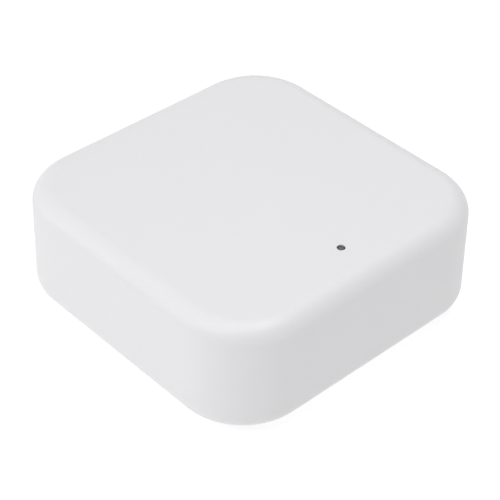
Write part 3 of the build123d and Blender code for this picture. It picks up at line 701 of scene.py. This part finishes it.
def thread_ridge(screw):
    """One helical ridge, round a shank that hangs from z = 0, fading out at its two ends."""
    root = THREAD_ROOT * screw.crest_radius
    foot, faded = root * RIDGE_FOOT, root * RIDGE_FADED
    steps = int((screw.length - screw.point) / screw.pitch * THREAD_STEPS)
    fade = THREAD_STEPS * THREAD_FADE
    loops = []
    for n in range(steps + 1):
        angle = math.tau * n / THREAD_STEPS
        level = -screw.pitch * (n / THREAD_STEPS + 0.5)
        strength = min(n / fade, (steps - n) / fade, 1.0)
        crest = faded + (screw.crest_radius - faded) * max(strength, RIDGE_LEAST)
        upper = ((foot, RIDGE_FOOT_REACH), (crest, RIDGE_CREST_REACH))
        lower = ((crest, -RIDGE_CREST_REACH), (foot, -RIDGE_FOOT_REACH))
        loop = []
        for radius, rise in upper + lower:
            loop.append((radius * math.cos(angle), radius * math.sin(angle), level + rise * screw.pitch))
        loops.append(loop)
    return skin(loops)


def screws(name, node, screw, looks, from_below=False):
    """Four self-tapping screws in the corners of the CAD node's box. Each is a head, a shank and a
    thread, made with the underside of the head on z = 0."""
    low, high = span(node)
    root = THREAD_ROOT * screw.crest_radius
    shank = turned([(root, SHANK_SINK), (root, screw.point - screw.length), (SHANK_TIP, -screw.length)])
    shells = [screw_head(screw), shank, thread_ridge(screw)]
    seat = low.z + screw.head_height if from_below else high.z - screw.head_height
    tilt = 180 if from_below else 0
    made = []
    for x, y in corners_of(node, screw.head_radius):
        made += [moved(shell, (x, y, seat), tilt) for shell in shells]
    make_piece(name, made, looks["zinc_steel"], stands_for=[node])


def socket_shell(looks):
    """The drawn shell of the power socket, with a rounded lip, on its four solder legs."""
    low, high = span("power_socket_shell")
    outer = SOCKET_HEIGHT / 2
    leg_x = high.x - LEG_THICKNESS / 2
    straight = leg_x - LEG_OUTSIDE - outer
    lip = SOCKET_SKIN / 2
    outline = [(outer - SOCKET_SKIN, low.y), (outer, low.y)]
    outline += arc(outer - lip, high.y - lip, lip, 0, 180, steps=8)
    axis_z = high.z - outer
    shells = [moved(turned(outline, straight, closed=True), (0, 0, axis_z), -90)]
    levels = [(LEG_TIP_WIDTH, low.z), (1.0, low.z + LEG_TIP_LENGTH), (1.0, axis_z)]
    leg = skin([soft_rectangle(LEG_THICKNESS, LEG_WIDTH * share, LEG_CORNER, z) for share, z in levels])
    for x in (-leg_x, leg_x):
        shells += [moved(leg, (x, y, 0)) for y in LEG_ROWS]
    finish = looks["socket_steel"]
    make_piece("power_socket_drawn_shell", shells, finish, stands_for=["power_socket_shell"])


def button_cap(looks):
    """The reset button: its cap with a dished face, the flange inside the wall, and the pusher."""
    low, high = span("reset_button")
    flange_radius = (high.x - low.x) / 2
    flange_end = PUSHER_LENGTH + FLANGE_THICKNESS
    face = high.y - low.y
    outline = [(PUSHER_RADIUS, 0), (PUSHER_RADIUS, PUSHER_LENGTH), (flange_radius, PUSHER_LENGTH)]
    outline += [(flange_radius, flange_end), (CAP_RADIUS, flange_end)]
    outline += arc(CAP_RADIUS - CAP_EDGE, face - CAP_EDGE, CAP_EDGE, 0, 90)
    for share in DISH_STEPS:
        outline.append((share * DISH_RADIUS, face - DISH_DEPTH * (1 - share**2) ** DISH_CURVE))
    centre = (low + high) / 2
    shell = moved(turned(outline), (centre.x, low.y, centre.z), -90)
    finish = looks["button_plastic"]
    make_piece("reset_button_cap", [shell], finish, "button", ["reset_button"])


def snap_dome(looks):
    """The thin domed spring of the reset switch, made here in its resting shape; the real one flattens as
    the button is pressed.
    """
    low, high = span("reset_switch_dome")
    radius, rise = (high.x - low.x) / 2, high.y - low.y
    curve = (radius**2 + rise**2) / (2 * rise)
    centre = rise - curve
    rim = 90 - math.degrees(math.asin(radius / curve))
    crown = 90 - DOME_PINHOLE
    outside = arc(0, centre, curve, rim, crown, DOME_STEPS)
    inside = arc(0, centre, curve - DOME_SHEET, crown, rim, DOME_STEPS)
    inside = [(out, max(level, 0.0)) for out, level in inside]
    seat = Vector(((low.x + high.x) / 2, low.y, (low.z + high.z) / 2))
    shell = moved(turned(outside + inside, closed=True), seat, -90)
    finish = looks["dome_steel"]
    dome = make_piece("reset_snap_dome", [shell], finish, stands_for=["reset_switch_dome"])
    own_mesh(dome)


def solids_of(node):
    """The lowest and highest corners of each separate solid in a CAD node."""
    mesh = frame["nodes"][node].data
    # Corners that share a face, or a place to the nearest micrometre, are in one solid.
    places = [tuple(round(c / MM, 3) for c in v.co) for v in mesh.vertices]
    group = {place: place for place in places}

    def head(place):
        while group[place] != place:
            place = group[place]
        return place

    for polygon in mesh.polygons:
        first = head(places[polygon.vertices[0]])
        for corner in polygon.vertices:
            group[head(places[corner])] = first
    solids = {}
    for place in places:
        solids.setdefault(head(place), []).append(place)
    boxes = []
    for members in solids.values():
        low = Vector([min(m[i] for m in members) for i in range(3)])
        high = Vector([max(m[i] for m in members) for i in range(3)])
        boxes.append((low, high))
    return sorted(boxes, key=lambda box: tuple(box[0]))


def solder_fillet(low, high):
    """Solder that climbs the sides of a lead or an end in a hollow curve, from the board up."""
    climb = min(SOLDER_CLIMB * (high.z - low.z), SOLDER_MOST)
    width, length = high.x - low.x, high.y - low.y
    loops = []
    for share in SOLDER_STEPS:
        out = 2 * SOLDER_SPREAD * (1 - share) ** 2 + SOLDER_SKIN
        corner = out / 2 + SOLDER_SKIN
        loops.append(soft_rectangle(width + out, length + out, corner, share * climb))
    return moved(skin(loops), over(low, high, BOARD_TOP))


def notch_solder(module):
    """Solder in each half-round notch along a module's long sides."""
    low, high = span(module + "_board")
    can_low, can_high = span(module + "_shield_can")
    width, length = NOTCH_SOLDER
    joints = []
    for n in range(1, int((can_high.y - can_low.y) / NOTCH_PITCH)):
        y = high.y - n * NOTCH_PITCH
        for x in (low.x, high.x):
            near = Vector((x - width / 2, y - length / 2, low.z))
            far = Vector((x + width / 2, y + length / 2, high.z))
            joints.append(solder_fillet(near, far))
    return joints


def solder_joints(looks):
    shells = []
    for node in SOLDERED:
        for low, high in solids_of(node):
            if abs(low.z - BOARD_TOP) < ON_BOARD:
                shells.append(solder_fillet(low, high))
    for module in MODULES:
        shells += notch_solder(module)
    make_piece("solder_joints", shells, looks["tin_plate"])


def gold_pads(looks):
    """A bare ring under each board screw, and a row of round test pads near the front edge."""
    inner, outer, height = SCREW_PAD
    pad = turned([(inner, 0), (outer, 0), (outer, height), (inner, height)], closed=True)
    shells = [moved(pad, (x, y, BOARD_TOP)) for x, y in corners_of("board_screws", BOARD_SCREW.head_radius)]
    radius, shoulder = TEST_PAD_RADIUS, TEST_PAD_SHOULDER * height
    test_pad = turned([(radius, 0), (radius, shoulder), (radius * TEST_PAD_TOP, height)])
    start_x, y = TEST_PADS_START
    for n in range(TEST_PAD_COUNT):
        shells.append(moved(test_pad, (start_x + n * TEST_PAD_PITCH, y, BOARD_TOP)))
    make_piece("gold_pads", shells, looks["gold_plate"])


def coil_winding():
    """The turns of enamelled wire that show in the groove round the coil's core."""
    low, high = span("power_coil")
    centre = over(low, high, high.z - WIRE_DEPTH)
    last = 360 - 360 / WIRE_SIDES
    wires = [arc(radius, 0, WIRE_RADIUS, 0, last, WIRE_SIDES - 1) for radius in WINDING_RADII]
    turns = [moved(turned(wire, closed=True), centre) for wire in wires]
    make_piece("coil_winding", turns, enamelled_copper())


def printed_outline(low, high):
    """A thin printed frame on the board, round a component."""
    width = high.x - low.x + 2 * OUTLINE_GAP
    length = high.y - low.y + 2 * OUTLINE_GAP
    inner = 2 * OUTLINE_WIDTH
    loops = []
    for less, level in ((0, 0), (0, OUTLINE_HEIGHT), (inner, OUTLINE_HEIGHT), (inner, 0)):
        loops.append(soft_rectangle(width - less, length - less, OUTLINE_CORNER, level, steps=2))
    return moved(skin(loops, closed=True), over(low, high, BOARD_TOP))


def printed_outlines():
    shells = [printed_outline(*box) for node in OUTLINED for box in solids_of(node)]
    make_piece("printed_outlines", shells, screen_print())


def make_pieces(looks):
    for node in sorted(frame["nodes"]):
        if node.startswith("rubber_foot"):
            rubber_foot(node, looks)
    screws("case_screws_threaded", "case_screws", CASE_SCREW, looks, from_below=True)
    screws("board_screws_threaded", "board_screws", BOARD_SCREW, looks)
    socket_shell(looks)
    button_cap(looks)
    snap_dome(looks)
    solder_joints(looks)
    gold_pads(looks)
    coil_winding()
    printed_outlines()


# Studio


def direction(azimuth, elevation):
    """A unit vector from the hub. Azimuth 0 is the front, and 90 is the right-hand side."""
    a, e = math.radians(azimuth), math.radians(elevation)
    return Vector((math.sin(a) * math.cos(e), -math.cos(a) * math.cos(e), math.sin(e)))


def make_camera():
    back = direction(CAMERA_AZIMUTH, CAMERA_ELEVATION)
    right = (-back).cross(Vector((0, 0, 1))).normalized()
    upright = Matrix((right, back.cross(right), back)).transposed()
    roll = Matrix.Rotation(math.radians(CAMERA_ROLL), 3, "Z")
    camera = bpy.data.cameras.new("camera")
    camera.sensor_width = 36
    camera.lens = CAMERA_LENS
    camera.clip_start = 10 * MM
    camera.clip_end = 10000 * MM
    holder = link("camera", camera)
    place = (Vector(CAMERA_TARGET) + back * CAMERA_DISTANCE) * MM
    holder.matrix_world = Matrix.Translation(place) @ (upright @ roll).to_4x4()
    bpy.context.scene.camera = holder


def make_soft_box(name, azimuth, elevation, power):
    light = bpy.data.lights.new(name, "AREA")
    light.shape = "DISK"
    light.size = SOFT_BOX_SIZE * MM
    light.energy = power
    holder = link(name, light)
    outward = direction(azimuth, elevation)
    holder.location = (Vector(SOFT_BOX_AIM) + outward * SOFT_BOX_DISTANCE) * MM
    holder.rotation_mode = "QUATERNION"
    holder.rotation_quaternion = (-outward).to_track_quat("-Z", "Y")


def make_floor():
    """A white sheet that also glows a little, so that the hub stands on clean white."""
    reach = FLOOR_REACH * MM
    mesh = bpy.data.meshes.new("floor")
    corners = [(x * reach, y * reach, 0) for x, y in ((-1, -1), (1, -1), (1, 1), (-1, 1))]
    mesh.from_pydata(corners, [], [(0, 1, 2, 3)])
    look = Look("floor_sheet", (FLOOR_WHITE,) * 3, 0.9)
    look.shader.inputs["Emission Color"].default_value = (1, 1, 1, 1)
    look.shader.inputs["Emission Strength"].default_value = FLOOR_GLOW
    mesh.materials.append(look.material)
    link("floor", mesh)


def make_world():
    """A pale surround: palest along the horizon, and greyer above."""
    world = bpy.data.worlds.new("world")
    world.use_nodes = True
    nodes, links = world.node_tree.nodes, world.node_tree.links
    height = nodes.new("ShaderNodeSeparateXYZ")
    fade = nodes.new("ShaderNodeMapRange")
    for name, value in WORLD_FADE.items():
        fade.inputs[name].default_value = value
    background = nodes["Background"]
    background.inputs["Color"].default_value = (1, 1, 1, 1)
    links.new(nodes.new("ShaderNodeTexCoord").outputs["Generated"], height.inputs["Vector"])
    links.new(height.outputs["Z"], fade.inputs["Value"])
    links.new(fade.outputs["Result"], background.inputs["Strength"])
    bpy.context.scene.world = world


def make_studio():
    bpy.context.scene.view_settings.view_transform = "Standard"
    make_world()
    make_floor()
    for name, (azimuth, elevation, power) in SOFT_BOXES.items():
        make_soft_box(name, azimuth, elevation, power)


make_camera()
make_studio()
looks = make_looks()
dress_cad_nodes(looks)
make_pieces(looks)
